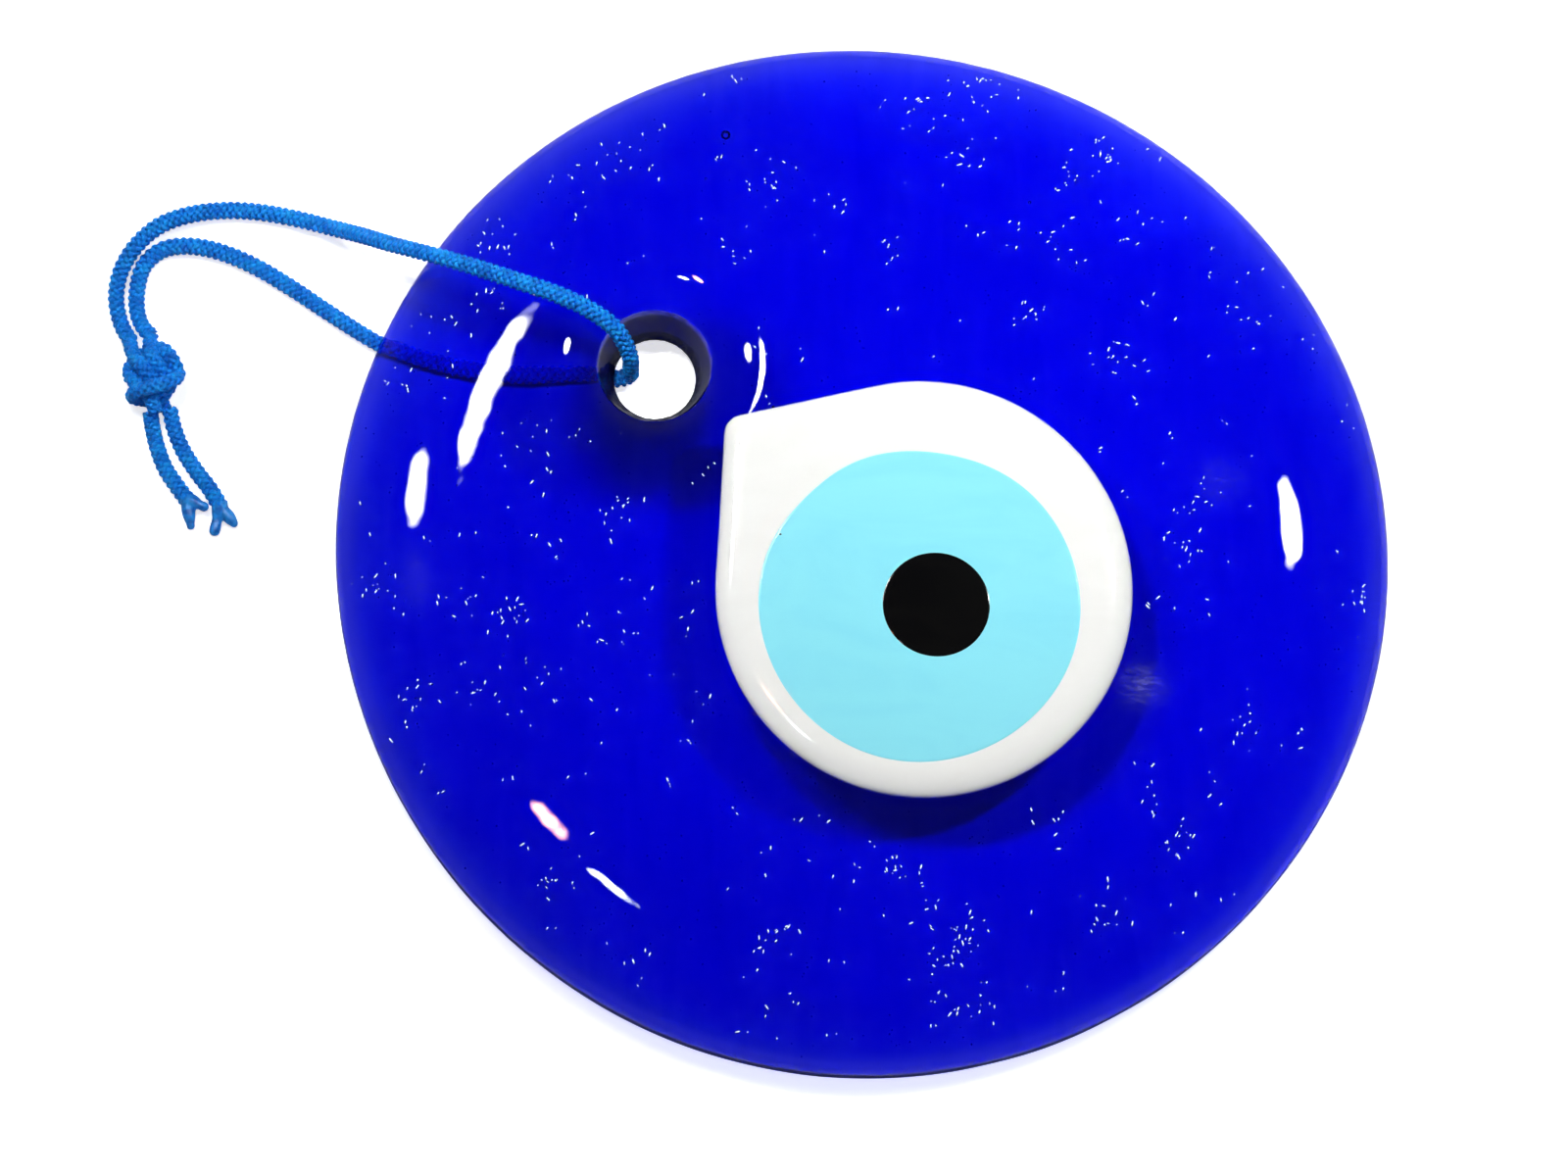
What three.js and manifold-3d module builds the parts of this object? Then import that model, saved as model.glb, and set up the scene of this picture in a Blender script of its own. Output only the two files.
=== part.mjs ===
// Evil eye ornament: a cast disc of cobalt glass with an eye of white, light blue and black glass
// fused on its front, and a loop of braided cord knotted through a hole near its edge.
// It lies face up, tipped a little by the back strand of its own cord, which runs under it.
// Millimetres, +Z up. The origin is on the surface it lies on, under the middle of the glass.

import * as THREE from 'three';
import { mergeVertices } from 'three/addons/utils/BufferGeometryUtils.js';
import Module from 'manifold-3d';

// Driving dimensions.
const DISC_RADIUS = 65;
const DISC_THICKNESS = 9;
const SHOULDER_WIDTH = 19; // the front curves down over this width, out to the edge
const EDGE_HEIGHT = 3.5; // top of the upright edge, above the flat back
const BACK_CORNER = 1.5; // radius of the rounding between the back and the upright edge
// The edge is poured and not ground, so it is a little out of round.
const EDGE_WOBBLE = [
  { lobes: 2, size: 0.29, turn: -45 },
  { lobes: 3, size: 0.16, turn: 19 },
];

const HOLE_CENTRE = new THREE.Vector2(-25.8, 22.5);
const HOLE_MOUTH_RADIUS = 7.2;
const HOLE_BACK_RADIUS = 5.1;
const DIMPLE_RADIUS = 13.5; // the front sinks towards the hole from here
const DIMPLE_DEPTH = 2.2;

const WHITE_CENTRE = new THREE.Vector2(7.2, -6.3);
const WHITE_RADIUS = 25.7;
const WHITE_POINT_REACH = 31.6; // from the centre to the tip that points at the hole
const WHITE_POINT_RADIUS = 2.4;
const WHITE_ROUNDING = 1.5;
const WHITE_THICKNESS = 4;
const WHITE_SINK = 1; // how far each gather of glass has sunk into the one below
const IRIS_CENTRE = new THREE.Vector2(6.6, -8.6);
const IRIS_RADIUS = 19.5;
const IRIS_FLAT = 0.4; // the iris is this much flatter on the side of the hole
const FLAT_NARROWNESS = 6; // the higher, the shorter the flattened stretch
const IRIS_THICKNESS = 1.6;
const PUPIL_CENTRE = new THREE.Vector2(8.6, -8.8);
const PUPIL_RADIUS = 6.45;
const PUPIL_THICKNESS = 0.9;

const GAP = 0.3; // left between pieces that touch
const TILT = THREE.MathUtils.degToRad(1.5);
const UPHILL = new THREE.Vector2(-0.86, 0.51).normalize(); // towards the cord that lifts the disc

const CORD_RADIUS = 1.05;
const CORD_SIDES = 8;
const CORD_STEP = 2.3;
const REST = CORD_RADIUS + 0.05; // the height of a cord's middle where it lies on the surface

// The front strand, from inside the hole over the front and the edge, and round the loop to the knot.
const FRONT_ROUTE = [
  [-28.9, 23.6, 5.1],
  [-28.8, 24.1, 7.0],
  [-29.4, 25.3, 9.3],
  [-30.6, 26.7, 11.3],
  [-33.2, 28.4, 12.7],
  [-37.4, 30.4, 13.2],
  [-43.4, 32.6, 13.0],
  [-49.6, 34.9, 12.2],
  [-54.4, 36.7, 10.8],
  [-58.8, 38.6, 8.4],
  [-62.6, 40.7, 5.3],
  [-66.6, 42.6, 2.5],
  [-71.2, 44.2, 1.25],
  [-76.2, 45.2, 1.1],
  [-80.8, 45.4, 1.2],
  [-85.2, 44.6, 1.8],
  [-88.8, 42.8, 2.7],
  [-91.6, 40.1, 2.7],
  [-93.5, 36.9, 1.9],
  [-94.0, 33.6, 1.3],
  [-93.2, 30.2, 1.4],
  [-92.0, 28.1, 2.0],
];
// The back strand, from inside the hole under the disc and out past its edge to the knot.
const BACK_ROUTE = [
  [-28.9, 23.5, 4.6],
  [-28.9, 23.4, 3.1],
  [-29.6, 23.3, 1.65],
  [-31.1, 23.2, REST],
  [-34.6, 23.0, REST],
  [-38.2, 22.9, REST],
  [-44.2, 22.9, REST],
  [-50.2, 23.7, REST],
  [-56.2, 25.5, REST],
  [-61.6, 28.3, REST],
  [-67.0, 31.8, REST],
  [-72.0, 35.2, REST],
  [-76.8, 38.1, REST],
  [-81.0, 39.9, REST],
  [-85.0, 40.7, REST],
  [-88.4, 40.2, REST],
  [-90.6, 38.2, REST],
  [-91.4, 35.2, REST],
  [-91.3, 32.0, 1.2],
  [-90.4, 29.8, 1.6],
  [-89.3, 28.6, 2.0],
];
const KNOT_MIDDLE = [-88.8, 23.3, 2.75];
const KNOT_LENGTH = 8;
const KNOT_RADIUS = 3.6;
const KNOT_END_RADIUS = 2.7;
const KNOT_SHOULDER = { along: 0.55, radius: 0.94 }; // shares of its half length and its radius
const KNOT_FLATNESS = 0.74; // its height over its width
const KNOT_HEADING = -76; // degrees, along the cord
const LEFT_TAIL_ROUTE = [
  [-89.1, 18.6, 1.7],
  [-88.8, 16.6, 1.2],
  [-88.1, 14.0, REST],
  [-87.0, 11.4, REST],
  [-85.5, 9.2, REST],
  [-84.3, 7.6, REST],
];
const RIGHT_TAIL_ROUTE = [
  [-86.7, 19.1, 1.7],
  [-86.2, 16.9, 1.2],
  [-85.0, 14.0, REST],
  [-83.2, 11.2, REST],
  [-81.5, 9.0, REST],
  [-80.1, 6.7, REST],
];
// Each melted end is a pair of hardened prongs: where both start, and the tip of each.
const LEFT_END = { root: [-83.8, 6.5], tips: [[-83.7, 4.4], [-82.6, 6.3]] };
const RIGHT_END = { root: [-79.7, 5.4], tips: [[-80.6, 3.7], [-78.6, 4.6]] };
const PRONG_RADIUS = 0.72;

// How finely the curves are divided.
const DISC_SEGMENTS = 96;
const SHOULDER_STEPS = 8;
const CORNER_STEPS = 3;
const HOLE_SEGMENTS = 48;
const DISH_STEPS = 4;
const OUTLINE_STEPS = 26;
const ROUNDING_STEPS = 3;
const LAYER_SEGMENTS = 64;
const KNOT_SEGMENTS = 20;
const PRONG_SIDES = 8;
const PRONG_CAP_STEPS = 3;

const wasm = await Module();
wasm.setup();

function toSolid(geometry) {
  const bare = geometry.clone();
  bare.deleteAttribute('normal');
  bare.deleteAttribute('uv');
  const merged = mergeVertices(bare);
  const { index } = merged;
  const triangles = [];
  for (let i = 0; i < index.count; i += 3) {
    const corners = [index.getX(i), index.getX(i + 1), index.getX(i + 2)];
    if (new Set(corners).size === 3) {
      triangles.push(...corners);
    }
  }
  return new wasm.Manifold(new wasm.Mesh({
    numProp: 3,
    vertProperties: merged.attributes.position.array,
    triVerts: Uint32Array.from(triangles),
  }));
}

function toGeometry(solid) {
  const { vertProperties, triVerts } = solid.getMesh();
  const geometry = new THREE.BufferGeometry();
  geometry.setAttribute('position', new THREE.BufferAttribute(vertProperties, 3));
  geometry.setIndex(new THREE.BufferAttribute(triVerts, 1));
  return geometry;
}

function cut(geometry, ...cutters) {
  const left = cutters.reduce((solid, cutter) => solid.subtract(toSolid(cutter)), toSolid(geometry));
  return toGeometry(left);
}

function join(...geometries) {
  return toGeometry(geometries.map(toSolid).reduce((whole, solid) => whole.add(solid)));
}

// A body of revolution about +Z from a profile of [radius, height] points, listed upwards.
function turned(profile, segments) {
  const points = profile.map(([radius, height]) => new THREE.Vector2(radius, height));
  return new THREE.LatheGeometry(points, segments).rotateX(Math.PI / 2);
}

// Points of a quarter of an ellipse between two profile points. The curve leaves the first one upright.
function upperQuarter([r0, z0], [r1, z1], steps) {
  return Array.from({ length: steps }, (_, i) => {
    const angle = ((i + 1) / steps) * (Math.PI / 2);
    return [r1 + (r0 - r1) * Math.cos(angle), z0 + (z1 - z0) * Math.sin(angle)];
  });
}

function edgeWobble(angle) {
  return EDGE_WOBBLE.reduce((sum, { lobes, size, turn }) => (
    sum + size * Math.cos(lobes * (angle - THREE.MathUtils.degToRad(turn)))
  ), 0);
}

function discBlank() {
  const flatRadius = DISC_RADIUS - BACK_CORNER;
  const backCorner = upperQuarter([DISC_RADIUS, BACK_CORNER], [flatRadius, 0], CORNER_STEPS).slice(0, -1).reverse();
  const shoulderTop = [DISC_RADIUS - SHOULDER_WIDTH, DISC_THICKNESS];
  const profile = [
    [0, 0],
    [flatRadius / 2, 0],
    [flatRadius, 0],
    ...backCorner,
    [DISC_RADIUS, BACK_CORNER],
    [DISC_RADIUS, EDGE_HEIGHT],
    ...upperQuarter([DISC_RADIUS, EDGE_HEIGHT], shoulderTop, SHOULDER_STEPS),
    [0, DISC_THICKNESS],
  ];
  const blank = turned(profile, DISC_SEGMENTS);
  const place = blank.attributes.position;
  for (let i = 0; i < place.count; i += 1) {
    const stretch = 1 + edgeWobble(Math.atan2(place.getY(i), place.getX(i))) / DISC_RADIUS;
    place.setXY(i, place.getX(i) * stretch, place.getY(i) * stretch);
  }
  return blank;
}

// What the punch and the sinking glass take away: a tapered hole with a dished mouth.
function holeCutter() {
  const clear = 2;
  const mouthHeight = DISC_THICKNESS - DIMPLE_DEPTH;
  const dish = [];
  for (let step = 1; step <= DISH_STEPS; step += 1) {
    const across = step / DISH_STEPS;
    const sunk = DIMPLE_DEPTH * (1 - across) ** 2;
    dish.push([
      HOLE_MOUTH_RADIUS + (DIMPLE_RADIUS - HOLE_MOUTH_RADIUS) * across,
      DISC_THICKNESS - sunk,
    ]);
  }
  const profile = [
    [0, -clear],
    [HOLE_BACK_RADIUS, -clear],
    [HOLE_BACK_RADIUS, 0],
    [HOLE_MOUTH_RADIUS, mouthHeight],
    ...dish,
    [DIMPLE_RADIUS, DISC_THICKNESS + clear],
    [0, DISC_THICKNESS + clear],
  ];
  return turned(profile, HOLE_SEGMENTS).translate(HOLE_CENTRE.x, HOLE_CENTRE.y, 0);
}

// A circle drawn out to a rounded point that faces the hole.
function whiteOutline(grow) {
  const towards = HOLE_CENTRE.clone().sub(WHITE_CENTRE).angle();
  const pointOffset = WHITE_POINT_REACH - WHITE_POINT_RADIUS;
  const spread = Math.acos((WHITE_RADIUS - WHITE_POINT_RADIUS) / pointOffset);
  const point = new THREE.Vector2(pointOffset, 0).rotateAround(new THREE.Vector2(), towards);
  point.add(WHITE_CENTRE);
  const outline = new THREE.Shape();
  outline.absarc(
    WHITE_CENTRE.x, WHITE_CENTRE.y, WHITE_RADIUS + grow,
    towards + spread, towards - spread + 2 * Math.PI, false,
  );
  outline.absarc(
    point.x, point.y, WHITE_POINT_RADIUS + grow,
    towards - spread, towards + spread, false,
  );
  outline.closePath();
  return outline;
}

function pebble(outline, bottom, top) {
  return new THREE.ExtrudeGeometry(outline, {
    depth: top - bottom - 2 * WHITE_ROUNDING,
    bevelThickness: WHITE_ROUNDING,
    bevelSize: WHITE_ROUNDING,
    bevelOffset: -WHITE_ROUNDING,
    bevelSegments: ROUNDING_STEPS,
    curveSegments: OUTLINE_STEPS,
  }).translate(0, 0, bottom + WHITE_ROUNDING);
}

// A straight-sided round layer. It can be flatter on the side that faces the hole.
function roundLayer(centre, radius, flat, bottom, top) {
  const holeSide = HOLE_CENTRE.clone().sub(centre).angle();
  const points = Array.from({ length: LAYER_SEGMENTS }, (_, i) => {
    const angle = (i / LAYER_SEGMENTS) * 2 * Math.PI;
    const facing = Math.max(0, Math.cos(angle - holeSide));
    const reach = radius - flat * facing ** FLAT_NARROWNESS;
    return new THREE.Vector2(centre.x + reach * Math.cos(angle), centre.y + reach * Math.sin(angle));
  });
  return new THREE.ExtrudeGeometry(new THREE.Shape(points), { depth: top - bottom, bevelEnabled: false })
    .translate(0, 0, bottom);
}

function part(name, geometry, colour, roughness) {
  const material = new THREE.MeshStandardMaterial({ color: colour, roughness, metalness: 0 });
  const mesh = new THREE.Mesh(geometry, material);
  mesh.name = name;
  return mesh;
}

function glassParts() {
  const clear = 3; // how far a cutter runs past the surface that it opens
  const whiteBottom = DISC_THICKNESS - WHITE_SINK;
  const front = whiteBottom + WHITE_THICKNESS;
  const irisBottom = front - IRIS_THICKNESS;
  const pupilBottom = front - PUPIL_THICKNESS;
  const whitePocket = pebble(whiteOutline(GAP), whiteBottom - GAP, front + clear);
  const irisPocket = roundLayer(IRIS_CENTRE, IRIS_RADIUS + GAP, IRIS_FLAT, irisBottom - GAP, front + clear);
  const pupilPocket = roundLayer(PUPIL_CENTRE, PUPIL_RADIUS + GAP, 0, pupilBottom - GAP, front + clear);
  const disc = cut(discBlank(), holeCutter(), whitePocket);
  const white = cut(pebble(whiteOutline(0), whiteBottom, front), irisPocket);
  const iris = cut(roundLayer(IRIS_CENTRE, IRIS_RADIUS, IRIS_FLAT, irisBottom, front), pupilPocket);
  const pupil = roundLayer(PUPIL_CENTRE, PUPIL_RADIUS, 0, pupilBottom, front);
  return [
    part('glass_disc', disc, 0x0a18f0, 0.05),
    part('white_layer', white, 0xf7f7f2, 0.12),
    part('light_blue_layer', iris, 0x8af0ff, 0.1),
    part('black_pupil', pupil, 0x060606, 0.08),
  ];
}

function cordCurve(route) {
  return new THREE.CatmullRomCurve3(route.map((point) => new THREE.Vector3(...point)), false, 'centripetal');
}

function cordTube(route) {
  const curve = cordCurve(route);
  const section = new THREE.Shape();
  for (let side = 0; side < CORD_SIDES; side += 1) {
    const angle = (side / CORD_SIDES) * 2 * Math.PI;
    const corner = [CORD_RADIUS * Math.cos(angle), CORD_RADIUS * Math.sin(angle)];
    if (side === 0) {
      section.moveTo(...corner);
    } else {
      section.lineTo(...corner);
    }
  }
  section.closePath();
  const steps = Math.ceil(curve.getLength() / CORD_STEP);
  return new THREE.ExtrudeGeometry(section, { steps, extrudePath: curve });
}

// The outer shape of the overhand knot that both strands are tied in.
function knotBody() {
  const half = KNOT_LENGTH / 2;
  const profile = [
    [0, -half],
    [KNOT_END_RADIUS, -half],
    [KNOT_RADIUS * KNOT_SHOULDER.radius, -half * KNOT_SHOULDER.along],
    [KNOT_RADIUS, 0],
    [KNOT_RADIUS * KNOT_SHOULDER.radius, half * KNOT_SHOULDER.along],
    [KNOT_END_RADIUS, half],
    [0, half],
  ];
  return turned(profile, KNOT_SEGMENTS)
    .rotateY(Math.PI / 2)
    .scale(1, 1, KNOT_FLATNESS)
    .rotateZ(THREE.MathUtils.degToRad(KNOT_HEADING))
    .translate(...KNOT_MIDDLE);
}

function meltedEnd({ root, tips }) {
  const prongs = tips.map((tip) => {
    const start = new THREE.Vector2(...root);
    const along = new THREE.Vector2(...tip).sub(start);
    const middle = start.clone().addScaledVector(along, 0.5);
    return new THREE.CapsuleGeometry(PRONG_RADIUS, along.length(), PRONG_CAP_STEPS, PRONG_SIDES, 1)
      .rotateZ(along.angle() - Math.PI / 2)
      .translate(middle.x, middle.y, REST);
  });
  return join(...prongs);
}

function cordParts() {
  const colour = 0x1687e8;
  const roughness = 0.75;
  return [
    part('cord_strand_front', cordTube(FRONT_ROUTE), colour, roughness),
    part('cord_strand_back', cordTube(BACK_ROUTE), colour, roughness),
    part('cord_knot', knotBody(), colour, roughness),
    part('cord_tail_left', cordTube(LEFT_TAIL_ROUTE), colour, roughness),
    part('cord_tail_right', cordTube(RIGHT_TAIL_ROUTE), colour, roughness),
    part('cord_end_left', meltedEnd(LEFT_END), colour, roughness),
    part('cord_end_right', meltedEnd(RIGHT_END), colour, roughness),
  ];
}

// The glass tips about a level line, then settles with its lowest point on the surface.
function tippedGlass() {
  const glass = new THREE.Group();
  glass.add(...glassParts());
  glass.quaternion.setFromAxisAngle(new THREE.Vector3(UPHILL.y, -UPHILL.x, 0), TILT);
  glass.updateMatrixWorld(true);
  const box = new THREE.Box3().setFromObject(glass, true);
  const middle = box.getCenter(new THREE.Vector3());
  glass.position.set(-middle.x, -middle.y, -box.min.z);
  return glass;
}

const ornament = new THREE.Group();
ornament.add(tippedGlass(), ...cordParts());

export default ornament;
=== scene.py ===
"""The looks of the evil eye ornament: a cobalt glass disc with a fused eye, on a loop of braided cord.

Metres, in the row's frame. Lengths written in millimetres are turned to metres by MM.
"""
import math
import random

import bmesh
import bpy
import numpy as np
from mathutils import Matrix, Vector, noise


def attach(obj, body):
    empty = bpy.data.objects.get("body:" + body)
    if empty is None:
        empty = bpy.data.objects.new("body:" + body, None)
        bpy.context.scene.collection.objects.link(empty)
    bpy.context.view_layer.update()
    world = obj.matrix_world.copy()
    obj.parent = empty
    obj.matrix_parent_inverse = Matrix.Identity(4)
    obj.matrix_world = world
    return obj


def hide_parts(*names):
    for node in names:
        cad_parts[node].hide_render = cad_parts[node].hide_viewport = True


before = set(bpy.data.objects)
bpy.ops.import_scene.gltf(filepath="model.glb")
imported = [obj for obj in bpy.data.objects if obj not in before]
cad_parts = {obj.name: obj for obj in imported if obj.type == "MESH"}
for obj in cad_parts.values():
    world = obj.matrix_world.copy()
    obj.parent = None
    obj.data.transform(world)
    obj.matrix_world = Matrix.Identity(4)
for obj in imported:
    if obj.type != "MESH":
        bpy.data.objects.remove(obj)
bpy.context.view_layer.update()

MM = 0.001
RANDOM = random.Random(7)
BODY = "root"

# ---------------------------------------------------------------- sizes, in millimetres, as in the CAD model
DISC_RADIUS = 65
DISC_THICKNESS = 9
SHOULDER_WIDTH = 19
SHOULDER_POWER = 2.2
EDGE_HEIGHT = 3.5
BACK_CORNER = 1.5
EDGE_WOBBLE = ((2, 0.29, -45), (3, 0.16, 19))
HOLE_CENTRE = np.array([-25.8, 22.5])
HOLE_MOUTH_RADIUS = 7.2
HOLE_BACK_RADIUS = 5.1
DIMPLE_RADIUS = 15.5
DIMPLE_DEPTH = 2.2
DIMPLE_POWER = 2.1
WHITE_CENTRE = np.array([7.2, -6.3])
WHITE_RADIUS = 25.7
WHITE_POINT_REACH = 31.6
WHITE_POINT_RADIUS = 2.4
WHITE_TOP = 12
IRIS_CENTRE = np.array([6.6, -8.6])
IRIS_RADIUS = 19.5
IRIS_FLAT = 0.4
PUPIL_CENTRE = np.array([8.6, -8.8])
PUPIL_RADIUS = 6.45
TILT = math.radians(1.5)
UPHILL = Vector((-0.86, 0.51)).normalized()
CORD_DIAMETER = 2.1
KNOT_CORD_DIAMETER = 1.9
REST = 1.1

FRONT_ROUTE = [
    (-28.9, 23.6, 5.1),
    (-28.8, 24.1, 7.0),
    (-29.4, 25.3, 9.3),
    (-30.6, 26.7, 11.3),
    (-33.2, 28.4, 12.7),
    (-37.4, 30.4, 13.2),
    (-43.4, 32.6, 13.0),
    (-49.6, 34.9, 12.2),
    (-54.4, 36.7, 10.8),
    (-58.8, 38.6, 8.4),
    (-62.6, 40.7, 5.3),
    (-66.6, 42.6, 2.5),
    (-71.2, 44.2, 1.25),
    (-76.2, 45.2, 1.1),
    (-80.8, 45.4, 1.2),
    (-85.2, 44.6, 1.8),
    (-88.8, 42.8, 2.7),
    (-91.6, 40.1, 2.7),
    (-93.5, 36.9, 1.9),
    (-94.0, 33.6, 1.3),
    (-93.2, 30.2, 1.4),
    (-92.0, 28.1, 2.0),
]
BACK_ROUTE = [
    (-28.9, 23.5, 4.6),
    (-28.9, 23.4, 3.1),
    (-29.6, 23.3, 1.65),
    (-31.1, 23.2, REST),
    (-34.6, 23.0, REST),
    (-38.2, 22.9, REST),
    (-44.2, 22.9, REST),
    (-50.2, 23.7, REST),
    (-56.2, 25.5, REST),
    (-61.6, 28.3, REST),
    (-67.0, 31.8, REST),
    (-72.0, 35.2, REST),
    (-76.8, 38.1, REST),
    (-81.0, 39.9, REST),
    (-85.0, 40.7, REST),
    (-88.4, 40.2, REST),
    (-90.6, 38.2, REST),
    (-91.4, 35.2, REST),
    (-91.3, 32.0, 1.2),
    (-90.4, 29.8, 1.6),
    (-89.3, 28.6, 2.0),
]
LEFT_TAIL_ROUTE = [
    (-89.1, 18.6, 1.7),
    (-88.8, 16.6, 1.2),
    (-88.1, 14.0, REST),
    (-87.0, 11.4, REST),
    (-85.5, 9.2, REST),
    (-84.3, 7.6, REST),
]
RIGHT_TAIL_ROUTE = [
    (-86.7, 19.1, 1.7),
    (-86.2, 16.9, 1.2),
    (-85.0, 14.0, REST),
    (-83.2, 11.2, REST),
    (-81.5, 9.0, REST),
    (-80.1, 6.7, REST),
]
KNOT_MIDDLE = (-88.8, 23.3, 2.75)
KNOT_HEADING = math.radians(-76)


# ---------------------------------------------------------------- camera
def add_camera():
    """The camera looks down on the ornament from its lower side, 13 degrees off vertical."""
    elevation = math.radians(76.5)
    distance = 0.536
    aim = Vector((-0.00973, -0.00498, 0.006))
    back = Vector((0, -math.cos(elevation), math.sin(elevation)))
    data = bpy.data.cameras.new("camera")
    data.lens = 100
    data.sensor_width = 36
    camera = bpy.data.objects.new("camera", data)
    camera.location = aim + distance * back
    camera.rotation_euler = (-back).to_track_quat("-Z", "Y").to_euler()
    bpy.context.scene.collection.objects.link(camera)
    bpy.context.scene.camera = camera


# ---------------------------------------------------------------- mesh helpers
def add_object(name, points, faces, material, uvs=None):
    """A smooth-shaded mesh object from points in millimetres, riding on the row's one body."""
    mesh = bpy.data.meshes.new(name)
    mesh.from_pydata((np.asarray(points) * MM).tolist(), [], faces)
    if uvs is not None:
        layer = mesh.uv_layers.new(name="along")
        corners = np.empty(len(mesh.loops), np.int32)
        mesh.loops.foreach_get("vertex_index", corners)
        layer.data.foreach_set("uv", np.asarray(uvs, np.float32)[corners].ravel())
    mesh.polygons.foreach_set("use_smooth", [True] * len(mesh.polygons))
    mesh.materials.append(material)
    mesh.validate()
    obj = bpy.data.objects.new(name, mesh)
    bpy.context.scene.collection.objects.link(obj)
    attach(obj, BODY)
    return obj


def grid_faces(rings, around, first=0, closed=False):
    """Quads of a tube of rings. A closed tube joins its last ring to its first."""
    faces = []
    for ring in range(rings if closed else rings - 1):
        low = first + ring * around
        high = first + (ring + 1) % rings * around
        for side in range(around):
            after = (side + 1) % around
            faces.append((low + side, low + after, high + after, high + side))
    return faces


def tube_faces(rings, around, first):
    """Quads of an open tube of rings, with a cap on each end."""
    faces = grid_faces(rings, around, first)
    last = first + (rings - 1) * around
    faces.append(tuple(range(first + around - 1, first - 1, -1)))
    faces.append(tuple(range(last, last + around)))
    return faces


def smooth_line(points, step):
    """A centripetal Catmull-Rom curve through the points, at even steps along its length."""
    p = np.asarray(points, float)
    p = np.vstack([2 * p[0] - p[1], p, 2 * p[-1] - p[-2]])
    knots = np.concatenate([[0], np.cumsum(np.linalg.norm(np.diff(p, axis=0), axis=1) ** 0.5)])
    fine = []
    for i in range(1, len(p) - 2):
        t0, t1, t2, t3 = knots[i - 1:i + 3]
        t = np.linspace(t1, t2, 40, endpoint=False)[:, None]
        a1 = (t1 - t) / (t1 - t0) * p[i - 1] + (t - t0) / (t1 - t0) * p[i]
        a2 = (t2 - t) / (t2 - t1) * p[i] + (t - t1) / (t2 - t1) * p[i + 1]
        a3 = (t3 - t) / (t3 - t2) * p[i + 1] + (t - t2) / (t3 - t2) * p[i + 2]
        b1 = (t2 - t) / (t2 - t0) * a1 + (t - t0) / (t2 - t0) * a2
        b2 = (t3 - t) / (t3 - t1) * a2 + (t - t1) / (t3 - t1) * a3
        fine.append((t2 - t) / (t2 - t1) * b1 + (t - t1) / (t2 - t1) * b2)
    fine = np.vstack(fine + [p[-2]])
    along = np.concatenate([[0], np.cumsum(np.linalg.norm(np.diff(fine, axis=0), axis=1))])
    count = max(2, round(along[-1] / step)) + 1
    even = np.linspace(0, along[-1], count)
    return np.stack([np.interp(even, along, fine[:, axis]) for axis in range(3)], axis=1)


def line_frames(line, start=(0, 0, 1)):
    """Tangents and two steady cross directions along a line, turned no more than its bends need."""
    tangents = np.gradient(line, axis=0)
    tangents /= np.linalg.norm(tangents, axis=1)[:, None]
    across = np.empty_like(line)
    held = np.asarray(start, float)
    for i, tangent in enumerate(tangents):
        held = held - tangent * (held @ tangent)
        held /= np.linalg.norm(held)
        across[i] = held
    return tangents, across, np.cross(tangents, across)


# ---------------------------------------------------------------- braided cord
YARNS_EACH_WAY = 4
STITCH_PITCH = 0.86
YARN_WIDTH = 0.66
YARN_THICKNESS = 0.42
YARN_SIDES = 6
YARN_RISE = 0.17
YARN_TAKE_UP = 1.9
CORE_SIDES = 10
CORE_GAP = 0.12
STEP = 0.105
FLOOR_GAP = 0.01


def braid(line, diameter, phase=0.0):
    """Points, faces and UVs of a tubular braid round a line, with the core that fills it.

    Four yarns wind each way. The ones that wind one way lie on top wherever cos(4 * turn) is positive and the
    others where it is negative, so slanted stitches stand in eight columns that lean to alternate sides.
    """
    _, up, side = line_frames(line)
    along = np.concatenate([[0], np.cumsum(np.linalg.norm(np.diff(line, axis=0), axis=1))])
    lay = diameter / 2 - YARN_THICKNESS / 2
    twist = 2 * math.pi / (YARNS_EACH_WAY * STITCH_PITCH)
    corners = np.linspace(0, 2 * math.pi, YARN_SIDES, endpoint=False)
    points, faces, uvs = [], [], []
    for way in (1, -1):
        for yarn in range(YARNS_EACH_WAY):
            turn = way * twist * along + yarn * math.pi / 2 + phase
            out = np.cos(turn)[:, None] * up + np.sin(turn)[:, None] * side
            height = lay - YARN_RISE / 2 + way * YARN_RISE * np.cos(4 * (turn - phase))
            height *= 1 + 0.05 * np.cos(2 * turn + along * 0.12)
            path = line + height[:, None] * out
            heading = np.gradient(path, axis=0)
            heading /= np.linalg.norm(heading, axis=1)[:, None]
            flat = np.cross(heading, out)
            first = len(points)
            ring = [
                path + YARN_THICKNESS / 2 * math.cos(c) * out + YARN_WIDTH / 2 * math.sin(c) * flat
                for c in corners
            ]
            points.extend(np.stack(ring, axis=1).reshape(-1, 3))
            faces.extend(tube_faces(len(line), YARN_SIDES, first))
            length = np.repeat(along * YARN_TAKE_UP, YARN_SIDES)
            uvs.extend(np.stack([length, np.tile(corners / (2 * math.pi), len(line))], axis=1))
    core = diameter / 2 - YARN_THICKNESS - CORE_GAP
    angles = np.linspace(0, 2 * math.pi, CORE_SIDES, endpoint=False)
    thin = slice(None, None, 4)
    first = len(points)
    ring = [line[thin] + core * (math.cos(a) * up[thin] + math.sin(a) * side[thin]) for a in angles]
    points.extend(np.stack(ring, axis=1).reshape(-1, 3))
    count = len(line[thin])
    faces.extend(tube_faces(count, CORE_SIDES, first))
    uvs.extend([(0.0, 0.0)] * (count * CORE_SIDES))
    points = np.array(points)
    points[:, 2] = np.maximum(points[:, 2], FLOOR_GAP)
    return points, faces, uvs


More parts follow.
